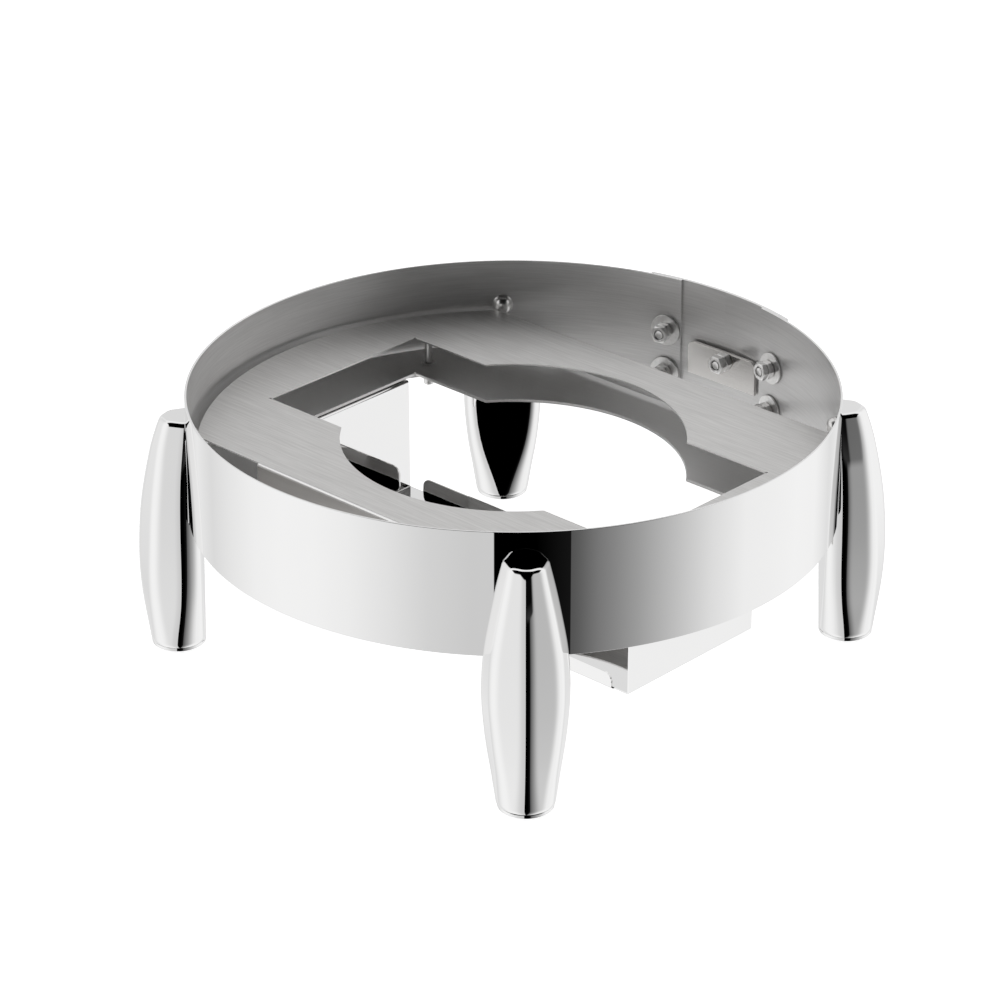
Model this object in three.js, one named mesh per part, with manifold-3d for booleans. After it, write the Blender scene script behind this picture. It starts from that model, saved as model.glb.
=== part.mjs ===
// Stand of a round roll-top chafing dish: a split steel band on four polished legs, with two
// sheet shelves, a hanging heater tray and the bolted base of the lid hinge.
// Millimetres, +Z up. Origin on the band's axis at the table, +X along the heater tray,
// +Y towards the hinge.
import * as THREE from "three";
import { mergeVertices } from "three/addons/utils/BufferGeometryUtils.js";
import Module from "manifold-3d";

// ---- Driving dimensions ----
const CLEARANCE = 0.3; // left between pieces that touch
const OVERLAP = 1; // shared by two solids that are joined or cut from each other
const DEG = Math.PI / 180;
const QUARTER = 90 * DEG;

const BAND = { outer: 205, wall: 1.5, top: 175.7, height: 81.3, gapHalfAngle: 9.7 * DEG };
BAND.inner = BAND.outer - BAND.wall;
BAND.bottom = BAND.top - BAND.height;

// Both shelves are discs with two straight sides and the same opening: a rectangle joined to
// a circle.
// The rectangle's corners are relieved by small round notches.
const OPENING = { halfLength: 151, halfWidth: 66.2, radius: 109, notch: 1 };
const UPPER = { radius: 198.3, halfWidth: 137.3, top: 142, thickness: 1.2 };
const LOWER = { radius: 200, halfWidth: 150, top: 116.6, thickness: 2.1 };
const FLANGE = { halfLength: 87, depth: 22, bendRadius: 2 };
const EAR = { halfWidth: 9.5, drop: 14, root: 5, chamfer: 0.6, angles: [0, 40, 140, 180, 220, 320] };

const POST = { x: 155, y: 83, sleeve: 2.6, stud: 2, tipGap: 0.5, washer: 4.5, washerThickness: 1 };
const POST_NUT = { radius: 3.3, height: 12.1, rounding: 0.9, end: 2.5 };
const SLOT = { width: 1, depth: 1.2 }; // for a screwdriver, across a post nut's end

const TRAY = { halfLength: 150, halfWidth: 58, floor: 35, sheet: 1.2, flange: 12 };
const LIP = { halfLength: 137.3, outer: 60, height: 10.7, corner: 6 };

const HINGE_PLATE = { thickness: 2, halfAngle: 16.3 * DEG };
const CLAMP = { left: -27, right: 31, front: 200, thickness: 2.6, bottom: 111.7, top: 135, corner: 5 };
// The bolts sit a little to the right of the gap's middle.
const SIDE_BOLT = { middle: 89.7 * DEG, spread: 13.05 * DEG, heights: [107, 137.5] };
const CENTRE_BOLT = { x: 6, z: 129.6 };
const BOLT = { radius: 3.15, chamfer: 0.6, headRadius: 6.3, headRim: 0.5, headHeight: 2.2, recess: 1 };
const WASHER = { radius: 10.7, thickness: 1.4 };
const NUT = { acrossFlats: 11.2, sideHeight: 4.2, centreHeight: 5.2 };

// The leg is a spindle with a flat back, notched to seat the band. In front it comes to a
// soft ridge between two faces, and a wider face runs down each side.
const LEG = { inner: 197.3, top: 158.5, edge: 2.9, frontFace: 27 * DEG, sideFace: 73 * DEG };
const LEG_SHOULDER = LEG.top - LEG.edge; // where its rounded top edge begins
// Height above the table, reach from the band's axis, half width along the band, radius of
// the rounded corners, and the width of the back corners against that radius.
const LEG_STATIONS = [
  [2.8, 232.3, 17.9, 17.1, 0.99],
  [12, 233.5, 19.3, 16.1, 0.94],
  [24, 235.1, 21.1, 14.6, 0.87],
  [38, 236.8, 23.4, 13.2, 0.78],
  [54, 237.7, 25.2, 12.4, 0.68],
  [70, 237.5, 26.3, 12, 0.64],
  [86, 236.6, 26.1, 11.8, 0.62],
  [100, 235.1, 25, 11.5, 0.61],
  [114, 232.8, 22.9, 11, 0.61],
  [128, 230, 20.2, 10.2, 0.61],
  [142, 226.6, 17.3, 8.9, 0.61],
  [LEG_SHOULDER, 222, 14, 7.8, 0.6],
  [LEG.top, 220.9, 13.3, 7.5, 0.6],
];
const PAD = { radius: 17.3, height: 2.5, chamfer: 0.6 };
const STUD = { radius: 3, z: 144.2, outerEnd: 215.5, innerEnd: 198.6 };
const DOMED_NUT = { collarRadius: 6.9, collar: 1, barrel: 0.4, radius: 6.1, depth: 4.8 };

// ---- Fineness of curved faces ----
const BAND_SEGMENTS = 96;
const PAD_SEGMENTS = 32;
const HOLE_SEGMENTS = 20;
const SMALL_SEGMENTS = 16; // round a bolt, post, nut or stud
const EDGE_STEPS = 3; // over a leg's rounded top edge
// Holes through the band and its plates are cut between these distances from the axis.
const DRILL = { start: 180, length: 60 };

// ---- Materials ----
const steel = (color, roughness) => {
  return new THREE.MeshStandardMaterial({ color, roughness, metalness: 1 });
};
const mirrorSteel = steel(0xe2e2e2, 0.05);
const brushedSteel = steel(0xb9b7b5, 0.32);
const zincSteel = steel(0xc4c2be, 0.2);

// ---- Solids ----
const wasm = await Module();
wasm.setup();

function toSolid(geometry) {
  const bare = geometry.index ? geometry.toNonIndexed() : geometry.clone();
  bare.deleteAttribute("normal");
  bare.deleteAttribute("uv");
  const merged = mergeVertices(bare, 1e-4);
  const vertProperties = new Float32Array(merged.attributes.position.array);
  const triVerts = new Uint32Array(merged.index.array);
  return new wasm.Manifold(new wasm.Mesh({ numProp: 3, vertProperties, triVerts }));
}

function toGeometry(solid) {
  const mesh = solid.getMesh();
  const geometry = new THREE.BufferGeometry();
  geometry.setAttribute("position", new THREE.BufferAttribute(mesh.vertProperties, 3));
  geometry.setIndex(new THREE.BufferAttribute(mesh.triVerts, 1));
  const flat = geometry.toNonIndexed();
  flat.computeVertexNormals();
  return flat;
}

// A cylinder standing on z = base.
function rod(radius, base, height, segments = SMALL_SEGMENTS) {
  const geometry = new THREE.CylinderGeometry(radius, radius, height, segments);
  return geometry.rotateX(QUARTER).translate(0, 0, base + height / 2);
}

// A prism with the outline in X and Y, standing on z = base.
function plate(shape, base, thickness, curveSegments = 12) {
  const options = { depth: thickness, bevelEnabled: false, curveSegments };
  return new THREE.ExtrudeGeometry(shape, options).translate(0, 0, base);
}

// A prism with the outline in Y and Z, from x = -halfLength to halfLength.
function bar(shape, halfLength) {
  const options = { depth: 2 * halfLength, bevelEnabled: false, curveSegments: 4 };
  const geometry = new THREE.ExtrudeGeometry(shape, options).translate(0, 0, -halfLength);
  return geometry.applyMatrix4(new THREE.Matrix4().makeBasis(
    new THREE.Vector3(0, 1, 0), new THREE.Vector3(0, 0, 1), new THREE.Vector3(1, 0, 0)));
}

// A profile of radius and height turned about Z.
function turned(points, segments = SMALL_SEGMENTS) {
  return new THREE.LatheGeometry(points, segments).rotateX(QUARTER);
}

// Turns a part built along +Z so that it points outwards from the band's axis at an angle,
// with its z measured as distance from that axis.
function outwards(geometry, angle, height) {
  return geometry.rotateY(QUARTER).rotateZ(angle).translate(0, 0, height);
}

function hexagon(acrossFlats, holeRadius) {
  const shape = new THREE.Shape();
  for (let i = 0; i < 6; i++) {
    const angle = i * 60 * DEG;
    const corner = acrossFlats / 2 / Math.cos(30 * DEG);
    const [x, y] = [corner * Math.cos(angle), corner * Math.sin(angle)];
    if (i === 0) shape.moveTo(x, y);
    else shape.lineTo(x, y);
  }
  shape.closePath();
  shape.holes.push(circle(holeRadius));
  return shape;
}

function circle(radius) {
  return new THREE.Path().absarc(0, 0, radius, 0, 2 * Math.PI);
}

// A flat ring standing on z = base.
function disc(radius, holeRadius, base, thickness) {
  const shape = new THREE.Shape().absarc(0, 0, radius, 0, 2 * Math.PI);
  shape.holes.push(circle(holeRadius));
  return plate(shape, base, thickness, 8);
}

function ringSector(inner, outer, from, to) {
  const shape = new THREE.Shape();
  shape.absarc(0, 0, outer, from, to, false);
  shape.absarc(0, 0, inner, to, from, true);
  return shape;
}

const stand = new THREE.Group();
stand.name = "roll_top_chafer_stand";

function add(name, geometry, material) {
  const mesh = new THREE.Mesh(geometry, material);
  mesh.name = name;
  stand.add(mesh);
  return mesh;
}

// ---- Fastener places ----
const legs = [
  { name: "back_right", angle: 45 * DEG },
  { name: "back_left", angle: 135 * DEG },
  { name: "front_left", angle: 225 * DEG },
  { name: "front_right", angle: 315 * DEG },
];
const sideBolts = [];
const [lowerBolts, upperBolts] = SIDE_BOLT.heights;
for (const [side, sign] of [["right", -1], ["left", 1]]) {
  for (const [level, height] of [["lower", lowerBolts], ["upper", upperBolts]]) {
    const angle = SIDE_BOLT.middle + sign * SIDE_BOLT.spread;
    sideBolts.push({ name: `${level}_${side}`, angle, height });
  }
}

// ---- Band and hinge base ----
function drillRadially(solid, radius, angle, height) {
  const hole = rod(radius, DRILL.start, DRILL.length, HOLE_SEGMENTS);
  return solid.subtract(toSolid(outwards(hole, angle, height)));
}

function drillCentre(solid) {
  const hole = rod(BOLT.radius + CLEARANCE, DRILL.start, DRILL.length, HOLE_SEGMENTS);
  const laid = hole.rotateX(-QUARTER).translate(CENTRE_BOLT.x, 0, CENTRE_BOLT.z);
  return solid.subtract(toSolid(laid));
}

function bandGeometry() {
  const from = QUARTER + BAND.gapHalfAngle;
  const to = QUARTER - BAND.gapHalfAngle + 2 * Math.PI;
  const strip = plate(
    ringSector(BAND.inner, BAND.outer, from, to), BAND.bottom, BAND.height, BAND_SEGMENTS / 2);
  let solid = toSolid(strip);
  for (const leg of legs) solid = drillRadially(solid, STUD.radius + CLEARANCE, leg.angle, STUD.z);
  for (const bolt of sideBolts) {
    solid = drillRadially(solid, BOLT.radius + CLEARANCE, bolt.angle, bolt.height);
  }
  return toGeometry(solid);
}

function hingePlateGeometry() {
  const inner = BAND.outer + CLEARANCE;
  const outline = ringSector(
    inner, inner + HINGE_PLATE.thickness,
    QUARTER - HINGE_PLATE.halfAngle, QUARTER + HINGE_PLATE.halfAngle);
  let solid = toSolid(plate(outline, BAND.bottom, BAND.height, 6));
  for (const bolt of sideBolts) {
    solid = drillRadially(solid, BOLT.radius + CLEARANCE, bolt.angle, bolt.height);
  }
  return toGeometry(drillCentre(solid));
}

// A flat plate across the band's gap, upright, with rounded upper corners.
function clampPlateGeometry() {
  const { left, right, corner, bottom, top } = CLAMP;
  const outline = new THREE.Shape();
  outline.moveTo(left, bottom);
  outline.lineTo(right, bottom);
  outline.lineTo(right, top - corner);
  outline.absarc(right - corner, top - corner, corner, 0, QUARTER);
  outline.absarc(left + corner, top - corner, corner, QUARTER, 2 * QUARTER);
  outline.closePath();
  const upright = plate(outline, 0, CLAMP.thickness, 6).rotateX(QUARTER);
  return toGeometry(drillCentre(toSolid(upright.translate(0, CLAMP.front + CLAMP.thickness, 0))));
}

add("ring_band", bandGeometry(), mirrorSteel);
add("hinge_base_plate", hingePlateGeometry(), mirrorSteel);
add("hinge_clamp_plate", clampPlateGeometry(), brushedSteel);

// ---- Hinge bolts ----
// A bolt along +Z with its low round head at the far end: z runs outwards from the axis.
function boltGeometry(tip, seat) {
  const { radius, chamfer, headRadius, headRim, headHeight } = BOLT;
  const outline = new THREE.Path();
  outline.moveTo(0, tip);
  outline.lineTo(radius - chamfer, tip);
  outline.lineTo(radius, tip + chamfer);
  outline.lineTo(radius, seat);
  outline.lineTo(headRadius, seat);
  outline.lineTo(headRadius, seat + headRim);
  outline.absellipse(0, seat + headRim, headRadius, headHeight - headRim, 0, QUARTER, false);
  return turned(outline.getPoints(3));
}

function nutGeometry(base, height) {
  return plate(hexagon(NUT.acrossFlats, BOLT.radius + CLEARANCE), base, height, 6);
}

// A nut's corners point along +X, so this turn brings a flat to the top once it lies down.
const FLAT_ON_TOP = 30 * DEG;

// Adds a bolt with its nut and lock nut. The nuts stand on a face at the given distance, and
// the bolt's tip stays a little below the lock nut's front.
function addBolt(name, face, height, place) {
  const nutBase = face - CLEARANCE - height;
  const lockBase = nutBase - CLEARANCE - height;
  const headSeat = BAND.outer + HINGE_PLATE.thickness + 2 * CLEARANCE;
  add(`hinge_bolt_${name}`, place(boltGeometry(lockBase + BOLT.recess, headSeat)), zincSteel);
  add(`hinge_nut_${name}`, place(nutGeometry(nutBase, height)), zincSteel);
  add(`hinge_lock_nut_${name}`, place(nutGeometry(lockBase, height)), zincSteel);
}

// Distance from the axis of a flat round face that rests on the inside of the curved band.
function flatOnBand(radius) {
  return Math.sqrt(BAND.inner ** 2 - radius ** 2) - CLEARANCE;
}

const washerFront = flatOnBand(WASHER.radius) - WASHER.thickness;

for (const { name, angle, height } of sideBolts) {
  const place = (geometry) => outwards(geometry.rotateZ(FLAT_ON_TOP), angle, height);
  const washer = disc(WASHER.radius, BOLT.radius + CLEARANCE, washerFront, WASHER.thickness);
  add(`hinge_washer_${name}`, place(washer), zincSteel);
  addBolt(name, washerFront, NUT.sideHeight, place);
}

// The centre bolt holds the flat plate, so it runs along Y.
addBolt("centre", CLAMP.front, NUT.centreHeight, (geometry) => {
  return geometry.rotateX(-QUARTER).translate(CENTRE_BOLT.x, 0, CENTRE_BOLT.z);
});

// ---- Shelves ----
function shelfShape({ radius, halfWidth: sideWidth }) {
  const corner = Math.asin(sideWidth / radius);
  const shape = new THREE.Shape();
  shape.absarc(0, 0, radius, -corner, corner, false);
  shape.absarc(0, 0, radius, Math.PI - corner, Math.PI + corner, false);
  shape.closePath();

  const { halfLength, halfWidth, radius: round, notch } = OPENING;
  const turn = Math.asin(halfWidth / round);
  const hole = new THREE.Path();
  hole.absarc(halfLength, -halfWidth, notch, 2 * QUARTER, 5 * QUARTER, false);
  hole.absarc(halfLength, halfWidth, notch, -QUARTER, 2 * QUARTER, false);
  hole.absarc(0, 0, round, turn, Math.PI - turn, false);
  hole.absarc(-halfLength, halfWidth, notch, 0, 3 * QUARTER, false);
  hole.absarc(-halfLength, -halfWidth, notch, QUARTER, 4 * QUARTER, false);
  hole.absarc(0, 0, round, Math.PI + turn, 2 * Math.PI - turn, false);
  hole.closePath();
  shape.holes.push(hole);
  return shape;
}

const corners = [
  { name: "back_right", x: 1, y: 1 },
  { name: "back_left", x: -1, y: 1 },
  { name: "front_left", x: -1, y: -1 },
  { name: "front_right", x: 1, y: -1 },
];

// The straight sides of the upper shelf turn down in a stiffening flange.
function flangeSolid(sign) {
  const { bendRadius, depth, halfLength } = FLANGE;
  const { top, thickness } = UPPER;
  const edge = UPPER.halfWidth;
  const outline = new THREE.Shape();
  outline.moveTo(edge - OVERLAP, top);
  outline.absarc(edge, top - bendRadius, bendRadius, QUARTER, 0, true);
  outline.lineTo(edge + bendRadius, top - depth);
  outline.lineTo(edge + bendRadius - thickness, top - depth);
  outline.absarc(edge, top - bendRadius, bendRadius - thickness, 0, QUARTER, false);
  outline.lineTo(edge - OVERLAP, top - thickness);
  outline.closePath();
  const flange = bar(outline, halfLength);
  if (sign < 0) flange.rotateZ(Math.PI);
  return toSolid(flange);
}

function upperShelfGeometry() {
  const sheet = plate(shelfShape(UPPER), UPPER.top - UPPER.thickness, UPPER.thickness, 14);
  return toGeometry(toSolid(sheet).add(flangeSolid(1)).add(flangeSolid(-1)));
}

// Ears on the lower shelf's rim turn down along the band and are spot welded to it.
function earSolid(angle) {
  const { root, chamfer, drop, halfWidth } = EAR;
  const { top, thickness } = LOWER;
  const reach = BAND.inner - 2 * CLEARANCE;
  const outline = new THREE.Shape();
  outline.moveTo(LOWER.radius - root, top);
  outline.lineTo(reach - chamfer, top);
  outline.lineTo(reach, top - chamfer);
  outline.lineTo(reach, top - drop);
  outline.lineTo(reach - thickness, top - drop);
  outline.lineTo(reach - thickness, top - thickness);
  outline.lineTo(LOWER.radius - root, top - thickness);
  outline.closePath();
  return toSolid(bar(outline, halfWidth).rotateZ(angle - QUARTER));
}

function lowerShelfGeometry() {
  const base = LOWER.top - LOWER.thickness;
  let solid = toSolid(plate(shelfShape(LOWER), base, LOWER.thickness, 14));
  for (const angle of EAR.angles) solid = solid.add(earSolid(angle * DEG));
  for (const { x, y } of corners) {
    const hole = rod(POST.stud + CLEARANCE, base - OVERLAP, LOWER.thickness + 2 * OVERLAP);
    solid = solid.subtract(toSolid(hole.translate(x * POST.x, y * POST.y, 0)));
  }
  return toGeometry(solid);
}

add("upper_shelf", upperShelfGeometry(), brushedSteel);
add("lower_shelf", lowerShelfGeometry(), brushedSteel);

// ---- Shelf posts ----
const postNutTop = LOWER.top - LOWER.thickness - CLEARANCE;
const postNutBottom = postNutTop - POST_NUT.height;

// A sleeve between the shelves on a thinner stud that runs down through the lower shelf.
function postGeometry() {
  const shoulder = LOWER.top + CLEARANCE + POST.washerThickness + CLEARANCE;
  const top = UPPER.top - UPPER.thickness - CLEARANCE;
  const end = postNutBottom + POST_NUT.end + POST.tipGap;
  return turned([
    [0, end], [POST.stud, end], [POST.stud, shoulder], [POST.sleeve, shoulder],
    [POST.sleeve, top], [0, top],
  ].map(([x, y]) => new THREE.Vector2(x, y)));
}

function postWasherGeometry() {
  return disc(POST.washer, POST.stud + CLEARANCE, LOWER.top + CLEARANCE, POST.washerThickness);
}

// A long round nut, closed below, with a screwdriver slot across its end.
function postNutGeometry() {
  const { radius, height, rounding, end } = POST_NUT;
  const outline = new THREE.Path();
  outline.moveTo(0, postNutBottom);
  outline.lineTo(radius - rounding, postNutBottom);
  outline.absarc(radius - rounding, postNutBottom + rounding, rounding, -QUARTER, 0, false);
  outline.lineTo(radius, postNutTop);
  outline.lineTo(0, postNutTop);
  const bore = rod(POST.stud + CLEARANCE, postNutBottom + end, height);
  const slot = new THREE.BoxGeometry(3 * radius, SLOT.width, 2 * SLOT.depth);
  slot.translate(0, 0, postNutBottom);
  return toGeometry(toSolid(turned(outline.getPoints(2))).subtract(toSolid(bore)).subtract(toSolid(slot)));
}

for (const { name, x, y } of corners) {
  for (const [piece, geometry] of [
    ["shelf_post", postGeometry()], ["shelf_post_washer", postWasherGeometry()],
    ["shelf_post_nut", postNutGeometry()],
  ]) {
    add(`${piece}_${name}`, geometry, zincSteel).position.set(x * POST.x, y * POST.y, 0);
  }
}

// ---- Heater tray ----
// One bent sheet: a floor, two end walls that turn out under the lower shelf, and a low lip
// with rounded corners along each side.
function trayGeometry() {
  const { halfLength, halfWidth, floor, sheet, flange } = TRAY;
  const inside = halfLength - sheet;
  const top = LOWER.top - LOWER.thickness - CLEARANCE;
  const section = new THREE.Shape();
  section.moveTo(halfLength, floor);
  section.lineTo(halfLength, top - sheet);
  section.lineTo(halfLength + flange, top - sheet);
  section.lineTo(halfLength + flange, top);
  section.lineTo(inside, top);
  section.lineTo(inside, floor + sheet);
  section.lineTo(-inside, floor + sheet);
  section.lineTo(-inside, top);
  section.lineTo(-halfLength - flange, top);
  section.lineTo(-halfLength - flange, top - sheet);
  section.lineTo(-halfLength, top - sheet);
  section.lineTo(-halfLength, floor);
  section.closePath();
  const profile = plate(section, 0, 2 * halfWidth).rotateX(QUARTER);
  let solid = toSolid(profile.translate(0, halfWidth, 0));

  const { corner, outer, height } = LIP;
  const lip = new THREE.Shape();
  lip.moveTo(-LIP.halfLength, floor);
  lip.lineTo(LIP.halfLength, floor);
  lip.absarc(LIP.halfLength - corner, floor + height - corner, corner, 0, QUARTER);
  lip.absarc(corner - LIP.halfLength, floor + height - corner, corner, QUARTER, 2 * QUARTER);
  lip.closePath();
  const foot = new THREE.BoxGeometry(2 * LIP.halfLength, outer - halfWidth + OVERLAP, sheet);
  foot.translate(0, (outer + halfWidth - OVERLAP) / 2, floor + sheet / 2);
  for (const turn of [0, Math.PI]) {
    const wall = plate(lip, 0, sheet, 5).rotateX(QUARTER).translate(0, outer, 0);
    solid = solid.add(toSolid(wall.rotateZ(turn))).add(toSolid(foot.clone().rotateZ(turn)));
  }
  return toGeometry(solid);
}

add("heater_tray", trayGeometry(), mirrorSteel);

// ---- Legs ----
function arcPoints([x, y], [radiusX, radiusY], from, to, steps) {
  return Array.from({ length: steps + 1 }, (_, k) => {
    const angle = from + ((to - from) * k) / steps;
    return [x + radiusX * Math.cos(angle), y + radiusY * Math.sin(angle)];
  });
}

// A leg's section at one station, built on +X: counter-clockwise from the ridge, drawn in
// by the inset.
function legSection([z, reach, half, corner, backWidth], inset) {
  const ridge = [reach - corner, 0];
  const [sideX, sideY] = [LEG.inner + corner, half - corner];
  const frontSlope = Math.tan(LEG.frontFace);
  const sideSlope = 1 / Math.tan(LEG.sideFace);
  const faceLength = (ridge[0] - sideX - frontSlope * sideY) / (1 - frontSlope * sideSlope);
  const run = Math.max(faceLength, 0);
  const edge = [sideX + run, Math.max(sideY - sideSlope * run, 0)];
  const radius = corner - inset;
  const backY = sideY + radius * (1 - backWidth);
  const leftHalf = [
    ...arcPoints(ridge, [radius, radius], 0, LEG.frontFace, 2),
    ...arcPoints(edge, [radius, radius], LEG.frontFace, LEG.sideFace, 3),
    ...arcPoints([sideX, sideY], [radius, radius], LEG.sideFace, QUARTER, 2).slice(0, -1),
    ...arcPoints([sideX, backY], [radius, radius * backWidth], QUARTER, 2 * QUARTER, 5),
  ];
  const rightHalf = leftHalf.slice(1).reverse().map(([x, y]) => [x, -y]);
  return [...leftHalf, ...rightHalf].map(([x, y]) => [x, y, z]);
}

// A closed solid through convex rings of points, from the lowest up.
function loft(rings) {
  const count = rings[0].length;
  const lastRing = (rings.length - 1) * count;
  const index = [];
  for (let below = 0; below < lastRing; below += count) {
    const above = below + count;
    for (let i = 0; i < count; i++) {
      const next = (i + 1) % count;
      index.push(below + i, below + next, above + next);
      index.push(below + i, above + next, above + i);
    }
  }
  for (let i = 1; i < count - 1; i++) {
    index.push(0, i + 1, i);
    index.push(lastRing, lastRing + i, lastRing + i + 1);
  }
  const geometry = new THREE.BufferGeometry();
  geometry.setAttribute("position", new THREE.Float32BufferAttribute(rings.flat(2), 3));
  return geometry.setIndex(index);
}

function legGeometry() {
  const rings = LEG_STATIONS.slice(0, -1).map((station) => legSection(station, 0));
  const [shoulder, top] = LEG_STATIONS.slice(-2);
  for (let k = 1; k <= EDGE_STEPS; k++) {
    const turn = (QUARTER * k) / EDGE_STEPS;
    const station = shoulder.map((value, i) => value + (top[i] - value) * Math.sin(turn));
    rings.push(legSection(station, LEG.edge * (1 - Math.cos(turn))));
  }
  const seat = rod(BAND.outer + CLEARANCE, BAND.bottom - CLEARANCE, BAND.height, BAND_SEGMENTS);
  const bore = rod(STUD.radius + CLEARANCE, DRILL.start, STUD.outerEnd + CLEARANCE - DRILL.start);
  const hole = outwards(bore, 0, STUD.z);
  return toGeometry(toSolid(loft(rings)).subtract(toSolid(seat)).subtract(toSolid(hole)));
}

function padGeometry() {
  const { radius, height, chamfer } = PAD;
  const points = [
    [0, 0], [radius - chamfer, 0], [radius, chamfer], [radius, height], [0, height],
  ].map(([x, y]) => new THREE.Vector2(x, y));
  return turned(points, PAD_SEGMENTS).translate(LEG.inner + radius, 0, 0);
}

function studGeometry() {
  return outwards(rod(STUD.radius, STUD.innerEnd, STUD.outerEnd - STUD.innerEnd), 0, STUD.z);
}

// A domed nut pointing at the axis: collar on the band, short barrel, low dome.
function domedNutGeometry() {
  const { collarRadius, collar, barrel, radius, depth } = DOMED_NUT;
  const face = flatOnBand(collarRadius);
  const domeBase = face - collar - barrel;
  const bore = STUD.radius + CLEARANCE;
  const boreEnd = STUD.innerEnd - CLEARANCE;
  const outline = new THREE.Path();
  outline.moveTo(0, domeBase - depth);
  outline.absellipse(0, domeBase, radius, depth, -QUARTER, 0, false);
  outline.lineTo(radius, face - collar);
  outline.lineTo(collarRadius, face - collar);
  outline.lineTo(collarRadius, face);
  outline.lineTo(bore, face);
  outline.lineTo(bore, boreEnd);
  outline.lineTo(0, boreEnd);
  return outwards(turned(outline.getPoints(3)), 0, STUD.z);
}

for (const { name, angle } of legs) {
  for (const [piece, geometry, material] of [
    ["leg", legGeometry(), mirrorSteel], ["foot_pad", padGeometry(), mirrorSteel],
    ["leg_stud", studGeometry(), zincSteel], ["domed_nut", domedNutGeometry(), mirrorSteel],
  ]) {
    add(`${piece}_${name}`, geometry, material).rotation.z = angle;
  }
}

export default stand;
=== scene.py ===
"""Looks of the round chafer stand: polished band and legs, brushed shelves, hinge hardware."""
import math

import bmesh
import bpy
from mathutils import Matrix, Vector


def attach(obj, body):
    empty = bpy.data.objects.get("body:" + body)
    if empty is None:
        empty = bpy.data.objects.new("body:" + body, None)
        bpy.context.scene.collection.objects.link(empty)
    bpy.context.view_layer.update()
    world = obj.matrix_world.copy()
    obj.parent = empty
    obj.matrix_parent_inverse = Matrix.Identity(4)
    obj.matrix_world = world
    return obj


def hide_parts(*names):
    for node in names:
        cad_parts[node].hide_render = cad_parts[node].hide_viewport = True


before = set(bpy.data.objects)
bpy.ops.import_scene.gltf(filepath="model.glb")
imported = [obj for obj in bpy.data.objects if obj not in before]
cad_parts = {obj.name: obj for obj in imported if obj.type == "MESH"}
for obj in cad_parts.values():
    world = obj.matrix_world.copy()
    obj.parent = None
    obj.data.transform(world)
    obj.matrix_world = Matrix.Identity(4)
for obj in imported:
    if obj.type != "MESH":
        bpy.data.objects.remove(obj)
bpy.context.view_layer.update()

MM = 0.001
DEG = math.pi / 180
BODY = "root"
WELD_DISTANCE = 1e-6  # metres

# ---- Dimensions in millimetres, the same as the CAD model's ----
GAP = 0.3
EDGE = 0.2  # the usual small rounding or chamfer of an edge
SHEET_OVERLAP = 0.02  # how much thinner a folded part is than the sheet that it is joined to
BAND_OUTER, BAND_INNER = 205.0, 203.5
BAND_BOTTOM, BAND_TOP = 94.4, 175.7
BAND_GAP = 9.7
HINGE_ANGLE = 90.0
PLATE_HALF_ANGLE, PLATE_THICKNESS = 16.3, 2.0
UPPER_TOP, UPPER_SHEET, UPPER_RADIUS = 142.0, 1.2, 198.3
LOWER_TOP, LOWER_SHEET, LOWER_RADIUS = 116.6, 2.1, 200.0
SHELF_HALF_WIDTH, LOWER_HALF_WIDTH = 137.3, 150.0
OPENING = {"length": 151.0, "width": 66.2, "radius": 109.0, "notch": 1.0}
FLANGE = {"half_length": 87.0, "depth": 22.0, "bend": 2.0, "root": 1}
EAR_ANGLES = (0, 40, 140, 180, 220, 320)
EAR = {"half_width": 9.5, "drop": 14.0, "bend": 1.6, "root": 5}
LOWER_EDGE = 0.3
POST_CORNERS = {"back_right": (1, 1), "back_left": (-1, 1), "front_left": (-1, -1), "front_right": (1, -1)}
POST_X, POST_Y, POST_RADIUS, STUD_RADIUS = 155.0, 83.0, 2.6, 2.0
POST_WASHER_RADIUS, POST_WASHER_SHEET = 4.5, 1.0
POST_NUT_RADIUS, POST_NUT_HEIGHT = 3.3, 12.1
POST_EDGE, POST_NUT_ROUND, POST_NUT_FLOOR, STUD_REACH = 0.3, 0.9, 2.5, 3
TRAY = {"length": 150.0, "width": 58.0, "floor": 35.0, "sheet": 1.2, "flange": 12.0, "bend": 1.2}
LIP = {"length": 137.3, "outer": 60.0, "height": 10.7, "corner": 6.0, "root": 1}
CLAMP = {"left": -27.0, "right": 31.0, "front": 200.0, "sheet": 2.6, "bottom": 111.7, "top": 135.0}
CLAMP_CORNER, CLAMP_EDGE = 5.0, 0.4
SIDE_BOLT_ANGLES = {"right": 89.7 - 13.05, "left": 89.7 + 13.05}
SIDE_BOLT_HEIGHTS = {"lower": 107.0, "upper": 137.5}
CENTRE_BOLT = (6.0, 129.6)
BOLT_RADIUS, HEAD_RADIUS, HEAD_HEIGHT, HEAD_RIM, TIP_RECESS = 3.15, 6.3, 2.2, 0.5, 0.4
TIP = {"dish": 0.35, "dish_radius": 1.6, "dish_edge": 0.15, "rim": 0.7, "rim_edge": 0.1}
THREAD = {"pitch": 1.27, "depth": 0.45, "start": 0.6, "plain": 2, "flank": 0.45, "crest": 0.55}
WASHER_RADIUS, WASHER_SHEET = 10.7, 1.4
NUT_FLATS, SIDE_NUT, CENTRE_NUT = 11.2, 4.2, 5.2
NUT_CHAMFER = {"radius": 5.1, "angle": 30, "step": 0.08, "steps": 10, "bore": 0.5, "flat": 0.3}
LEG_ANGLES = {"back_right": 45, "back_left": 135, "front_left": 225, "front_right": 315}
LEG_INNER, LEG_BASE, LEG_TOP = 197.3, 2.8, 158.5
LEG_EDGE = 2.9
PAD_RADIUS, PAD_HEIGHT, PAD_ROUND = 17.3, 2.5, 0.6
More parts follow.
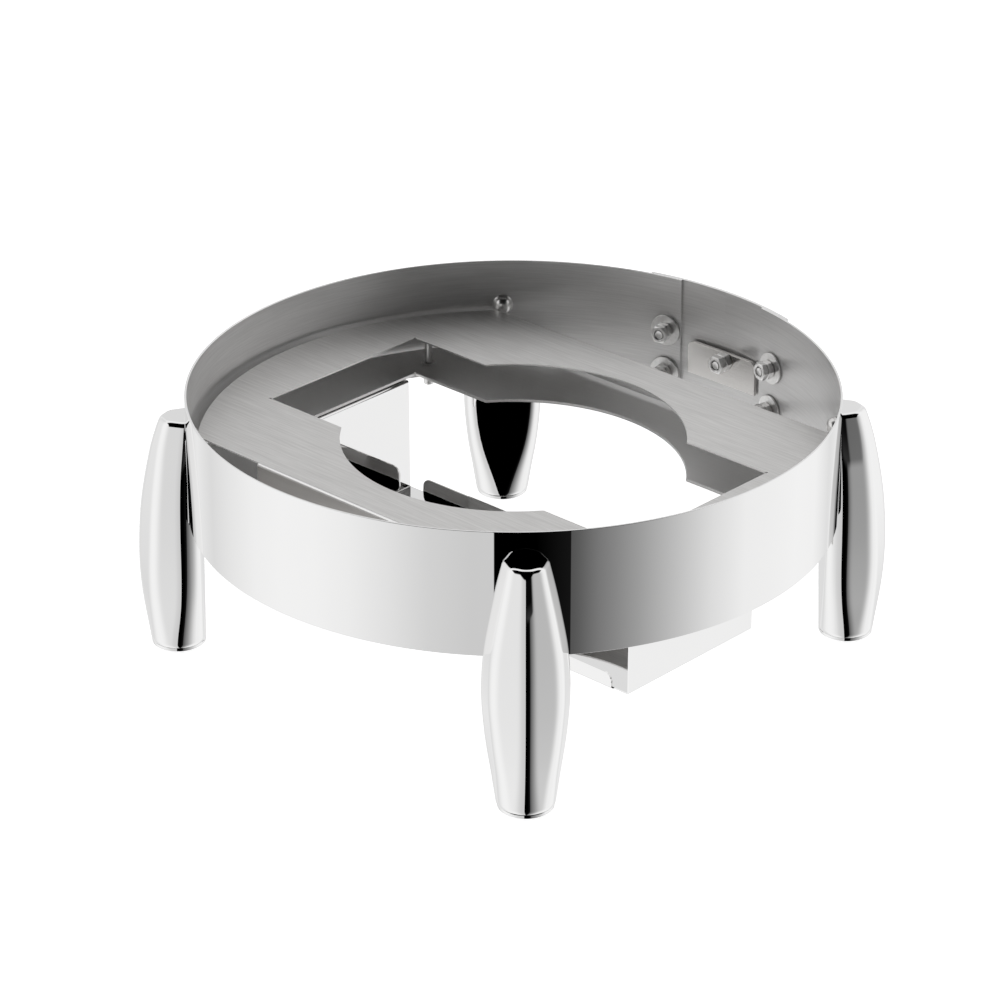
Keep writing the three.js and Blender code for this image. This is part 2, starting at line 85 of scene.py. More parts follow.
DOMED_NUT = {"collar_radius": 6.9, "collar": 1.0, "collar_edge": 0.3, "root": 0.15, "barrel": 0.4,
             "radius": 6.1, "depth": 4.8, "z": 144.2}

# A leg's reach from the band's axis, half width and corner radius, each by height.
LEG_REACH = [(0, 231.9), (11, 233.3), (25, 235.3), (40, 237.0), (61, 237.8), (83, 236.8), (97, 235.5),
             (111, 233.4), (125, 230.6), (139, 227.5), (152.6, 223.2), (160, 220.3)]
LEG_HALF = [(0, 17.5), (12.5, 19.4), (23.5, 21.0), (34, 22.8), (45, 24.3), (56, 25.4), (67, 26.2),
            (77, 26.4), (90, 25.9), (104, 24.6), (122, 21.4), (139, 18.0), (152.7, 14.7), (160, 12.9)]
LEG_ROUND = [(0, 17.3), (12, 16.2), (25, 14.4), (40, 13.0), (60, 12.2), (100, 11.5), (125, 10.5),
             (141, 9.0), (160, 7.4)]
LEG_BACK = [(0, 1.0), (20, 0.9), (60, 0.66), (160, 0.6)]  # width of the back corners against their depth
FRONT_FACE, SIDE_FACE = 27 * DEG, 73 * DEG  # directions that a leg's front and side faces look in
FOOT_EDGE, TOP_FLAT = 0.35, 0.15
# Steps round half of a leg's section, of which EASE to each side are averaged, and steps up its height.
CORNER_STEPS, LEG_FINE_STEPS, LEG_OUTER_STEPS, LEG_BACK_STEPS, EASE = 12, 160, 110, 24, 4
LOW_RINGS, HIGH_RINGS, EDGE_RINGS = 40, 30, 10


# ---- Mesh building ----
def mesh_piece(name, node, slot, verts, faces, materials, face_materials=None, matrix=None, smooth=30.0,
               flat_faces=True):
    """A piece from points in millimetres, standing for a CAD node."""
    mesh = bpy.data.meshes.new(name)
    mesh.from_pydata([Vector(v) * MM for v in verts], [], faces)
    mesh.validate()
    return dress(name, node, mesh, materials, face_materials, matrix, smooth, flat_faces)


def dress(name, node, mesh, materials, face_materials=None, matrix=None, smooth=30.0,
          flat_faces=True):
    """Makes the piece that stands for a CAD node. With flat_faces, large flat faces reflect as flat ones."""
    for material in materials:
        mesh.materials.append(material)
    if face_materials:
        for polygon, index in zip(mesh.polygons, face_materials):
            polygon.material_index = index
    if matrix is not None:
        mesh.transform(matrix)
    mesh.shade_smooth()
    piece = bpy.data.objects.new(name, mesh)
    bpy.context.scene.collection.objects.link(piece)
    weld(mesh)
    mesh.set_sharp_from_angle(angle=smooth * DEG)
    if flat_faces:
        normals = piece.modifiers.new("normals", "WEIGHTED_NORMAL")
        normals.weight = 100
        normals.keep_sharp = True
    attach(piece, BODY)
    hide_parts(node)
    return piece


def weld(mesh):
    """Joins points that lie on each other and turns all faces outwards."""
    shape = bmesh.new()
    shape.from_mesh(mesh)
    bmesh.ops.remove_doubles(shape, verts=shape.verts, dist=WELD_DISTANCE)
    bmesh.ops.dissolve_degenerate(shape, edges=shape.edges, dist=WELD_DISTANCE / 10)
    bmesh.ops.recalc_face_normals(shape, faces=shape.faces)
    shape.to_mesh(mesh)
    shape.free()


def grid(rings, closed=True, wrap=False):
    """Faces between rings of points. closed joins each ring's ends, wrap joins the last ring to the first."""
    count = len(rings[0])
    verts = [point for ring in rings for point in ring]
    faces = []
    for row in range(len(rings) if wrap else len(rings) - 1):
        below, above = row * count, (row + 1) % len(rings) * count
        for i in range(count if closed else count - 1):
            j = (i + 1) % count
            faces.append((below + i, below + j, above + j, above + i))
    return verts, faces


def revolve(profile, segments, limit=None, closed=False):
    """A profile of (radius, z) turned about Z. limit(angle) caps the radius, such as for a hexagon."""
    rings = []
    for k in range(segments):
        angle = 2 * math.pi * k / segments
        cap = limit(angle) if limit else math.inf
        c, s = math.cos(angle), math.sin(angle)
        rings.append([(min(r, cap) * c, min(r, cap) * s, z) for r, z in profile])
    return grid(rings, closed=closed, wrap=True)


def merge(*parts):
    """Several (verts, faces) as one."""
    verts, faces = [], []
    for part_verts, part_faces in parts:
        start = len(verts)
        verts += part_verts
        faces += [tuple(start + i for i in face) for face in part_faces]
    return verts, faces


def arc(cx, cy, radius, start, end, steps):
    """Points on an arc, angles in degrees."""
    angles = [(start + (end - start) * k / steps) * DEG for k in range(steps + 1)]
    return [(cx + radius * math.cos(a), cy + radius * math.sin(a)) for a in angles]


def bent(points, radius, steps=6):
    """The polyline with its inner corners rounded."""
    out = [points[0]]
    for before, here, after in zip(points, points[1:], points[2:]):
        here, before, after = Vector(here), Vector(before), Vector(after)
        a, b = (before - here).normalized(), (after - here).normalized()
        half = a.angle(b) / 2
        centre = here + (a + b).normalized() * (radius / math.sin(half))
        start = here + a * (radius / math.tan(half)) - centre
        end = here + b * (radius / math.tan(half)) - centre
        for k in range(steps + 1):
            spoke = start.slerp(end, k / steps)
            out.append(tuple(centre + spoke))
    out.append(points[-1])
    return out


def offset(points, distance):
    """The polyline moved sideways, to its left for a positive distance."""
    moved = []
    for i, point in enumerate(points):
        before = Vector(points[max(i - 1, 0)])
        after = Vector(points[min(i + 1, len(points) - 1)])
        along = (after - before).normalized()
        moved.append((point[0] - along.y * distance, point[1] + along.x * distance))
    return moved


def folded_sheet(path, thickness, low, high, place):
    """A sheet of metal folded along a centre line, between two distances across it."""
    left, right = offset(path, thickness / 2), offset(path, -thickness / 2)
    rings = [[place(*a, low), place(*a, high), place(*b, high), place(*b, low)]
             for a, b in zip(left, right)]
    verts, faces = grid(rings)
    last = len(verts) - 4
    return verts, faces + [(3, 2, 1, 0), (last, last + 1, last + 2, last + 3)]


def sheet_plate(outline, holes, base, thickness, edge=EDGE):
    """The mesh of a flat sheet with holes and slightly rounded edges, standing on z = base."""
    curve = bpy.data.curves.new("outline", "CURVE")
    curve.dimensions = "2D"
    curve.fill_mode = "BOTH"
    curve.extrude = (thickness / 2 - edge) * MM
    curve.bevel_depth = edge * MM
    curve.bevel_resolution = 1
    curve.offset = -edge * MM
    for loop in [outline, *holes]:
        spline = curve.splines.new("POLY")
        spline.points.add(len(loop) - 1)
        for point, (x, y) in zip(spline.points, loop):
            point.co = (x * MM, y * MM, 0, 1)
        spline.use_cyclic_u = True
    holder = bpy.data.objects.new("outline", curve)
    bpy.context.scene.collection.objects.link(holder)
    graph = bpy.context.evaluated_depsgraph_get()
    mesh = bpy.data.meshes.new_from_object(holder.evaluated_get(graph))
    bpy.data.objects.remove(holder)
    bpy.data.curves.remove(curve)
    mesh.materials.clear()
    mesh.transform(Matrix.Translation((0, 0, (base + thickness / 2) * MM)))
    return mesh


def with_parts(mesh, verts, faces):
    """The mesh with more points and faces in millimetres."""
    start = len(mesh.vertices)
    all_verts = [tuple(v.co) for v in mesh.vertices] + [tuple(Vector(v) * MM) for v in verts]
    all_faces = [tuple(p.vertices) for p in mesh.polygons]
    all_faces += [tuple(start + i for i in face) for face in faces]
    joined = bpy.data.meshes.new(mesh.name)
    joined.from_pydata(all_verts, [], all_faces)
    joined.validate()
    bpy.data.meshes.remove(mesh)
    return joined


def table_value(table, x):
    """A smooth curve through the (x, value) rows."""
    last = len(table) - 1
    i = max(k for k in range(last) if table[k][0] <= x or k == 0)
    (x0, y0), (x1, y1) = table[i], table[i + 1]
    if not table[0][0] <= x <= table[last][0]:
        end_x, end_y = table[0] if x < x0 else table[last]
        return end_y + (y1 - y0) / (x1 - x0) * (x - end_x)

    def slope(k):
        (xa, ya), (xb, yb) = table[max(k - 1, 0)], table[min(k + 1, last)]
        return (yb - ya) / (xb - xa)
    t = (x - x0) / (x1 - x0)
    run = x1 - x0
    return (y0 * (2 * t**3 - 3 * t**2 + 1) + y1 * (3 * t**2 - 2 * t**3)
            + run * slope(i) * (t**3 - 2 * t**2 + t) + run * slope(i + 1) * (t**3 - t**2))


# ---- Materials ----
MEAN_RADIUS = 0.2  # metres, turns angles round the axis into lengths
STREAK_SHORTENING = 0.035  # about a brush mark's width against its length
SCRATCH_DEPTH, PIT_DEPTH = 0.00002, 0.00003  # metres


def node_material(name):
    material = bpy.data.materials.new(name)
    material.use_nodes = True
    tree = material.node_tree
    shader = tree.nodes["Principled BSDF"]
    shader.inputs["Metallic"].default_value = 1.0
    return material, tree, shader


def link(tree, source, target):
    tree.links.new(source, target)


def math_node(tree, operation, *values):
    node = tree.nodes.new("ShaderNodeMath")
    node.operation = operation
    for socket, value in zip(node.inputs, values):
        if isinstance(value, (int, float)):
            socket.default_value = value
        else:
            link(tree, value, socket)
    return node.outputs[0]


def map_range(tree, value, from_min, from_max, to_min=0.0, to_max=1.0, smooth=False):
    node = tree.nodes.new("ShaderNodeMapRange")
    if smooth:
        node.interpolation_type = "SMOOTHSTEP"
    limits = {"From Min": from_min, "From Max": from_max, "To Min": to_min, "To Max": to_max}
    for key, limit in limits.items():
        node.inputs[key].default_value = limit
    link(tree, value, node.inputs["Value"])
    return node.outputs["Result"]


def spread(tree, value, low, high):
    """Maps 0.25-0.75, where most of a noise lies, to low-high."""
    return map_range(tree, value, 0.25, 0.75, low, high)


def noise(tree, vector, scale, detail=3.0):
    node = tree.nodes.new("ShaderNodeTexNoise")
    node.inputs["Scale"].default_value = scale
    node.inputs["Detail"].default_value = detail
    link(tree, vector, node.inputs["Vector"])
    return node.outputs["Fac"]


def grey_mix(tree, factor, dark, light):
    node = tree.nodes.new("ShaderNodeMix")
    node.data_type = "RGBA"
    node.inputs["A"].default_value = (*dark, 1)
    node.inputs["B"].default_value = (*light, 1)
    link(tree, factor, node.inputs["Factor"])
    return node.outputs["Result"]


def bump(tree, shader, height, strength, distance):
    node = tree.nodes.new("ShaderNodeBump")
    node.inputs["Strength"].default_value = strength
    node.inputs["Distance"].default_value = distance
    link(tree, height, node.inputs["Height"])
    link(tree, node.outputs["Normal"], shader.inputs["Normal"])


def object_xyz(tree):
    coordinates = tree.nodes.new("ShaderNodeTexCoord").outputs["Object"]
    split = tree.nodes.new("ShaderNodeSeparateXYZ")
    link(tree, coordinates, split.inputs[0])
    return coordinates, split.outputs


def streak_space(tree, direction):
    """Coordinates in which brushing along X or round the axis is stretched into streaks."""
    _, (x, y, z) = object_xyz(tree)
    if direction == "round":
        squares = math_node(tree, "ADD", math_node(tree, "MULTIPLY", x, x), math_node(tree, "MULTIPLY", y, y))
        radius = math_node(tree, "SQRT", squares)
        angle = math_node(tree, "ARCTAN2", x, math_node(tree, "MULTIPLY", y, -1.0))
        along, across, rest = math_node(tree, "MULTIPLY", angle, MEAN_RADIUS), z, radius
    else:
        along, across, rest = x, y, z
    join = tree.nodes.new("ShaderNodeCombineXYZ")
    link(tree, math_node(tree, "MULTIPLY", along, STREAK_SHORTENING), join.inputs[0])
    link(tree, across, join.inputs[1])
    link(tree, rest, join.inputs[2])
    return join.outputs[0]


def polished(name, colour, roughness, smear):
    """Mirror-polished steel with faint wiping marks."""
    material, tree, shader = node_material(name)
    coordinates, _ = object_xyz(tree)
    cloud = noise(tree, coordinates, 14.0)
    hair = noise(tree, streak_space(tree, "round"), 900.0, 2.0)
    darker = tuple(c * 0.985 for c in colour)
    link(tree, grey_mix(tree, cloud, darker, colour), shader.inputs["Base Color"])
    wear = math_node(tree, "MULTIPLY", cloud, hair)
    link(tree, spread(tree, wear, roughness, roughness + smear), shader.inputs["Roughness"])
    bump(tree, shader, hair, 0.012, SCRATCH_DEPTH)
    return material


def brushing_tangent(tree, direction):
    """The direction that brushed metal stretches its highlights by."""
    if direction == "round":
        node = tree.nodes.new("ShaderNodeTangent")
        node.direction_type = "RADIAL"
        node.axis = "Z"
    else:
        node = tree.nodes.new("ShaderNodeCombineXYZ")
        node.inputs[0].default_value = 1.0
    return node.outputs[0]


def brushed(name, dark, light, roughness, direction, anisotropy, depth=0.25, metallic=1.0):
    """Brushed sheet: fine streaks one way, in colour, roughness and relief."""
    material, tree, shader = node_material(name)
    shader.inputs["Metallic"].default_value = metallic
    shader.inputs["Anisotropic"].default_value = anisotropy
    space = streak_space(tree, direction)
    broad = noise(tree, space, 500.0, 2.0)
    fine = noise(tree, space, 1200.0, 3.0)
    coordinates, _ = object_xyz(tree)
    cloud = noise(tree, coordinates, 9.0)
    streaks = math_node(tree, "ADD", math_node(tree, "MULTIPLY", broad, 0.3),
                        math_node(tree, "MULTIPLY", fine, 0.6))
    mixed = math_node(tree, "ADD", streaks, math_node(tree, "MULTIPLY", cloud, 0.1))
    link(tree, grey_mix(tree, spread(tree, mixed, 0.0, 1.0), dark, light), shader.inputs["Base Color"])
    link(tree, spread(tree, mixed, *roughness), shader.inputs["Roughness"])
    link(tree, brushing_tangent(tree, direction), shader.inputs["Tangent"])
    bump(tree, shader, fine, depth, SCRATCH_DEPTH)
    return material


def plated(name, colour, low, high):
    """Bright plated fasteners with a mottled sheen."""
    material, tree, shader = node_material(name)
    coordinates, _ = object_xyz(tree)
    grain = noise(tree, coordinates, 420.0)
    speck = noise(tree, coordinates, 1900.0, 2.0)
    darker = tuple(c * 0.86 for c in colour)
    link(tree, grey_mix(tree, spread(tree, grain, 0.0, 1.0), darker, colour), shader.inputs["Base Color"])
    link(tree, spread(tree, speck, low, high), shader.inputs["Roughness"])
    bump(tree, shader, speck, 0.08, PIT_DEPTH)
    return material


MIRROR = polished("polished_steel", (0.93, 0.928, 0.926), 0.002, 0.008)
# The wall and the lower shelf's top are partly metallic, so that they catch some light in the shade.
WALL = brushed("brushed_wall", (0.57, 0.565, 0.56), (0.73, 0.725, 0.72), (0.28, 0.36), "round", 0.5,
               metallic=0.55)
SHELF = brushed("brushed_shelf", (0.58, 0.573, 0.565), (0.8, 0.793, 0.785), (0.36, 0.44), "x", 0.4)
# The bends: a smoother polish that is real, plus a paler colour that is a painted highlight along each fold.
PAINTED_HIGHLIGHT_FOLD = brushed("fold_painted_highlight", (0.88, 0.875, 0.87), (0.94, 0.935, 0.93), (0.11, 0.15), "x", 0.2, 0.1)
# A darker, brownish colour on the flanges' outer faces: painted shade, standing in for the shaded wall that
# they face.
PAINTED_SHADE_FLANGE = brushed("flange_painted_shade", (0.5, 0.485, 0.47), (0.58, 0.565, 0.55), (0.2, 0.26), "x", 0.2, 0.1)
# A real satin roughness, with a pale colour that is painted light: it lightens the lower shelf's shaded top
# and the flanges' inner faces.
PAINTED_LIGHT_SATIN = brushed("satin_painted_light", (0.9, 0.895, 0.89), (0.96, 0.955, 0.95), (0.52, 0.58), "x", 0.0, 0.1,
                 metallic=0.3)
CLAMP_FACE = brushed("satin_plate", (0.58, 0.565, 0.55), (0.68, 0.665, 0.65), (0.2, 0.28), "x", 0.2, 0.1)
CAP = polished("satin_cap_nut", (0.8, 0.79, 0.78), 0.28, 0.08)
ZINC = plated("plated_fastener", (0.88, 0.875, 0.865), 0.3, 0.42)

# ---- Band and hinge base ----
RIM, RIM_STEPS = 0.35, 4
BAND_STEPS, PLATE_STEPS = 720, 72


def curved_strip(inner, outer, start, end, steps):
    """A strip standing round the axis with rounded rims. Marks 1 for its inner face and 0 elsewhere."""
    low, high = BAND_BOTTOM + RIM, BAND_TOP - RIM
    outside, inside = outer - RIM, inner + RIM
    profile = []
    for r, z, turn in ((outside, low, -90), (outside, high, 0), (inside, high, 90), (inside, low, 180)):
        profile += arc(r, z, RIM, turn, turn + 90, RIM_STEPS)
    rings = []
    for k in range(steps + 1):
        angle = (start + (end - start) * k / steps) * DEG
        rings.append([(r * math.cos(angle), r * math.sin(angle), z) for r, z in profile])
    verts, faces = grid(rings)
    count = len(profile)
    inner_face = count // 2 + RIM_STEPS
    marks = [1 if i % count == inner_face else 0 for i in range(len(faces))]
    last = len(verts) - count
    faces += [tuple(reversed(range(count))), tuple(range(last, last + count))]
    return verts, faces, marks + [0, 0]


def add_band():
    start, end = HINGE_ANGLE + BAND_GAP, HINGE_ANGLE - BAND_GAP + 360
    verts, faces, marks = curved_strip(BAND_INNER, BAND_OUTER, start, end, BAND_STEPS)
    mesh_piece("band", "ring_band", "mirror_steel", verts, faces, [MIRROR, WALL], marks)


def add_base_plate():
    inner = BAND_OUTER + GAP
    start, end = HINGE_ANGLE - PLATE_HALF_ANGLE, HINGE_ANGLE + PLATE_HALF_ANGLE
    verts, faces, marks = curved_strip(inner, inner + PLATE_THICKNESS, start, end, PLATE_STEPS)
    mesh_piece("base_plate", "hinge_base_plate", "mirror_steel", verts, faces, [MIRROR, WALL], marks)


def add_clamp_plate():
    left, right, bottom, top = (CLAMP[key] for key in ("left", "right", "bottom", "top"))
    corner = CLAMP_CORNER
    outline = [(left, bottom), (right, bottom)]
    outline += arc(right - corner, top - corner, corner, 0, 90, 12)
    outline += arc(left + corner, top - corner, corner, 90, 180, 12)
    back = Matrix.Translation((0, (CLAMP["front"] + CLAMP["sheet"]) * MM, 0))
    upright = back @ Matrix.Rotation(90 * DEG, 4, "X")
    dress("clamp_plate", "hinge_clamp_plate",
          sheet_plate(outline, [], 0, CLAMP["sheet"], CLAMP_EDGE), [CLAMP_FACE], matrix=upright)


add_band()
add_base_plate()
add_clamp_plate()


# ---- Fasteners ----
NUT_SEGMENTS, BOLT_SEGMENTS, WASHER_SEGMENTS, PAD_SEGMENTS = 72, 48, 96, 96  # round the axis


def radial_place(angle, z):
    """Turns a part built along +Z to point away from the axis at an angle, at a height."""
    c, s = math.cos(angle * DEG), math.sin(angle * DEG)
    return Matrix(((0, -s, c, 0), (0, c, s, 0), (-1, 0, 0, z * MM), (0, 0, 0, 1)))


def centre_place():
    """Turns a part built along +Z to point along +Y, at the clamp plate's bolt."""
    x, z = CENTRE_BOLT
    return Matrix(((1, 0, 0, x * MM), (0, 0, 1, 0), (0, -1, 0, z * MM), (0, 0, 0, 1)))


def hexagon(flats, turn):
    def limit(angle):
        inside = (angle / DEG - turn + 30) % 60 - 30
        return flats / 2 / math.cos(inside * DEG)
    return limit


def nut_part(base, height, turn):
    """A chamfered hexagon nut from z = base, its front at the base end."""
    end = base + height
    radius, bore_edge = NUT_CHAMFER["radius"], NUT_CHAMFER["bore"]
    slope = 1 / math.tan(NUT_CHAMFER["angle"] * DEG)
    depths = [NUT_CHAMFER["step"] * k for k in range(NUT_CHAMFER["steps"] + 1)]
    bore = BOLT_RADIUS + GAP
    front = [(radius + slope * d, base + d) for d in depths]
    back = [(radius + slope * d, end - d) for d in reversed(depths)]
    inside = [(bore + bore_edge, end), (bore, end - bore_edge), (bore, base + bore_edge),
              (bore + bore_edge, base), (radius - NUT_CHAMFER["flat"], base)]
    return revolve(front + back + inside, NUT_SEGMENTS, hexagon(NUT_FLATS, turn), closed=True)


def bolt_part(tip, seat):
    """A bolt with a dished tip, thread rings and a low round head."""
    root = BOLT_RADIUS - THREAD["depth"]
    body = [(0, tip + TIP["dish"]), (TIP["dish_radius"], tip + TIP["dish_edge"]),
            (BOLT_RADIUS - TIP["rim"], tip), (root, tip + TIP["rim_edge"])]
    pitch = THREAD["pitch"]
    for k in range(int((seat - tip - THREAD["plain"]) / pitch)):
        z = tip + THREAD["start"] + k * pitch
        body += [(root, z), (BOLT_RADIUS, z + THREAD["flank"] * pitch),
                 (BOLT_RADIUS, z + THREAD["crest"] * pitch)]
    body += [(BOLT_RADIUS, seat), (HEAD_RADIUS - EDGE, seat), (HEAD_RADIUS, seat + EDGE)]
    crown = HEAD_HEIGHT - HEAD_RIM
    dome = [(HEAD_RADIUS * math.cos(a * DEG), seat + HEAD_RIM + crown * math.sin(a * DEG))
            for a in range(0, 90, 10)]
    return revolve(body + dome + [(0, seat + HEAD_HEIGHT)], BOLT_SEGMENTS)


def washer_part(radius, hole, base, sheet):
    top = base + sheet
    profile = [(hole, base + EDGE), (hole + EDGE, base), (radius - EDGE, base), (radius, base + EDGE),
               (radius, top - EDGE), (radius - EDGE, top), (hole + EDGE, top), (hole, top - EDGE)]
    return revolve(profile, WASHER_SEGMENTS, closed=True)


def add_bolt(name, face, height, place, turn):
    """A bolt through the base plate with its nut and lock nut. The nut presses on the face."""
    nut_base = face - GAP - height
    lock_base = nut_base - GAP - height
    seat = BAND_OUTER + PLATE_THICKNESS + 2 * GAP
    for kind, part in (("bolt", bolt_part(lock_base + TIP_RECESS, seat)),
                       ("nut", nut_part(nut_base, height, turn)),
                       ("lock_nut", nut_part(lock_base, height, turn))):
        mesh_piece(f"{kind}_{name}", f"hinge_{kind}_{name}", "fastener_steel", *part, [ZINC], matrix=place)


def flat_on_band(radius):
    """Distance from the axis of a flat round face that rests on the inside of the curved band."""
    return math.sqrt(BAND_INNER**2 - radius**2) - GAP


def add_side_bolts():
    front = flat_on_band(WASHER_RADIUS) - WASHER_SHEET
    for side, angle in SIDE_BOLT_ANGLES.items():
        for level, z in SIDE_BOLT_HEIGHTS.items():
            place = radial_place(angle, z)
            washer = washer_part(WASHER_RADIUS, BOLT_RADIUS + GAP, front, WASHER_SHEET)
            mesh_piece(f"washer_{level}_{side}", f"hinge_washer_{level}_{side}", "fastener_steel", *washer,
                       [ZINC], matrix=place)
            add_bolt(f"{level}_{side}", front, SIDE_NUT, place, 0)


add_side_bolts()
add_bolt("centre", CLAMP["front"], CENTRE_NUT, centre_place(), 30)


# ---- Shelves ----
def shelf_outline(radius, half_width):
    corner = math.asin(half_width / radius) / DEG
    return arc(0, 0, radius, -corner, corner, 90) + arc(0, 0, radius, 180 - corner, 180 + corner, 90)


def opening_outline():
    length, width, radius, notch = (OPENING[key] for key in ("length", "width", "radius", "notch"))
    turn = math.asin(width / radius) / DEG
    return (arc(length, -width, notch, 180, 450, 12) + arc(length, width, notch, -90, 180, 12)
            + arc(0, 0, radius, turn, 180 - turn, 80) + arc(-length, width, notch, 0, 270, 12)
            + arc(-length, -width, notch, 90, 360, 12) + arc(0, 0, radius, 180 + turn, 360 - turn, 80))


def flange_parts():
    """The upper shelf's straight edges, folded down."""
    edge, bend, depth = SHELF_HALF_WIDTH, FLANGE["bend"], FLANGE["depth"]
    outer = edge + bend - UPPER_SHEET / 2
    middle = UPPER_TOP - UPPER_SHEET / 2
    path = bent([(edge - FLANGE["root"], middle), (outer, middle), (outer, UPPER_TOP - depth)],
                bend - UPPER_SHEET / 2)
    sheet, end = UPPER_SHEET - SHEET_OVERLAP, FLANGE["half_length"]
    parts = []
    for sign in (1, -1):
        parts.append(folded_sheet(path, sheet, -end, end,
                                  lambda y, z, x, sign=sign: (sign * x, sign * y, z)))
    return merge(*parts)


def ear_parts():
    """The ears that hold the lower shelf to the band."""
    reach = BAND_INNER - 2 * GAP - LOWER_SHEET / 2
    middle = LOWER_TOP - LOWER_SHEET / 2
    path = bent([(LOWER_RADIUS - EAR["root"], middle), (reach, middle), (reach, LOWER_TOP - EAR["drop"])],
                EAR["bend"])
    parts = []
    for angle in EAR_ANGLES:
        c, s = math.cos(angle * DEG), math.sin(angle * DEG)
        parts.append(folded_sheet(path, LOWER_SHEET - SHEET_OVERLAP, -EAR["half_width"], EAR["half_width"],
                                  lambda r, z, t, c=c, s=s: (r * c - t * s, r * s + t * c, z)))
    return merge(*parts)


def upper_shelf_mark(polygon):
    """0 for the flat shelf, 1 for the bends with a painted highlight, 2 for the flanges' outer faces with
    painted shade and 3 for their inner faces with painted light.
    """
    across = abs(polygon.center.y) / MM
    if across < SHELF_HALF_WIDTH - EDGE:
        return 0
    upright = abs(polygon.normal.z) <= 0.1
    if not upright:
        return 1
    return 2 if across > SHELF_HALF_WIDTH + FLANGE["bend"] - UPPER_SHEET / 2 else 3


def lower_shelf_mark(polygon):
    """0 for what faces up, which gets the paler satin as painted light, 1 for the rest."""
    return 0 if polygon.normal.z > 0.5 else 1


def add_shelves():
    plate = sheet_plate(shelf_outline(UPPER_RADIUS, SHELF_HALF_WIDTH), [opening_outline()],
                        UPPER_TOP - UPPER_SHEET, UPPER_SHEET)
    upper = with_parts(plate, *flange_parts())
    # The bends get a painted highlight, the flanges' outer faces painted shade and their inner faces painted
    # light.
    dress("shelf_upper", "upper_shelf", upper, [SHELF, PAINTED_HIGHLIGHT_FOLD, PAINTED_SHADE_FLANGE, PAINTED_LIGHT_SATIN],
          [upper_shelf_mark(polygon) for polygon in upper.polygons])
    plate = sheet_plate(shelf_outline(LOWER_RADIUS, LOWER_HALF_WIDTH), [opening_outline()],
                        LOWER_TOP - LOWER_SHEET, LOWER_SHEET, LOWER_EDGE)
    lower = with_parts(plate, *ear_parts())
    # The lower shelf's top gets painted light. The rest is the plain brushed shelf.
    dress("shelf_lower", "lower_shelf", lower, [PAINTED_LIGHT_SATIN, SHELF],
          [lower_shelf_mark(polygon) for polygon in lower.polygons])


add_shelves()


# ---- Shelf posts ----
def post_part(bottom, shoulder, top):
    """A threaded stud that widens into a spacer above a shoulder."""
    return revolve([(0, bottom), (STUD_RADIUS, bottom), (STUD_RADIUS, shoulder),
                    (POST_RADIUS - POST_EDGE, shoulder), (POST_RADIUS, shoulder + POST_EDGE),
                    (POST_RADIUS, top - POST_EDGE), (POST_RADIUS - POST_EDGE, top), (0, top)], BOLT_SEGMENTS)


def post_nut_part(bottom, top):
    """A round blind nut with a rounded lower end."""
    bore, floor_z = STUD_RADIUS + GAP, bottom + POST_NUT_FLOOR
    end = arc(POST_NUT_RADIUS - POST_NUT_ROUND, bottom + POST_NUT_ROUND, POST_NUT_ROUND, -90, 0, 6)
    return revolve([(0, bottom)] + end + [(POST_NUT_RADIUS, top - EDGE), (POST_NUT_RADIUS - EDGE, top),
                                          (bore, top), (bore, floor_z), (0, floor_z)], BOLT_SEGMENTS)


def add_posts():
    washer_base = LOWER_TOP + GAP
    shoulder = washer_base + POST_WASHER_SHEET + GAP
    nut_top = LOWER_TOP - LOWER_SHEET - GAP
    nut_bottom = nut_top - POST_NUT_HEIGHT
    post = post_part(nut_bottom + STUD_REACH, shoulder, UPPER_TOP - UPPER_SHEET - GAP)
    washer = washer_part(POST_WASHER_RADIUS, STUD_RADIUS + GAP, washer_base, POST_WASHER_SHEET)
    nut = post_nut_part(nut_bottom, nut_top)
    for corner, (sx, sy) in POST_CORNERS.items():
        place = Matrix.Translation((sx * POST_X * MM, sy * POST_Y * MM, 0))
        for kind, part in (("post", post), ("post_washer", washer), ("post_nut", nut)):
            mesh_piece(f"{kind}_{corner}", f"shelf_{kind}_{corner}", "fastener_steel", *part, [ZINC],
                       matrix=place)


add_posts()


# ---- Heater tray ----
TRAY_MIDDLE = TRAY["floor"] + TRAY["sheet"] / 2  # height of the middle of the floor's sheet


def tray_body():
    """The floor, the end walls and their outward top flanges, as one folded sheet."""
    sheet = TRAY["sheet"]
    top = LOWER_TOP - LOWER_SHEET - GAP - sheet / 2
    wall = TRAY["length"] - sheet / 2
    ends = TRAY["length"] + TRAY["flange"]
    path = bent([(ends, top), (wall, top), (wall, TRAY_MIDDLE),
                 (-wall, TRAY_MIDDLE), (-wall, top), (-ends, top)], TRAY["bend"])
    return folded_sheet(path, sheet, -TRAY["width"], TRAY["width"], lambda x, z, y: (x, y, z))


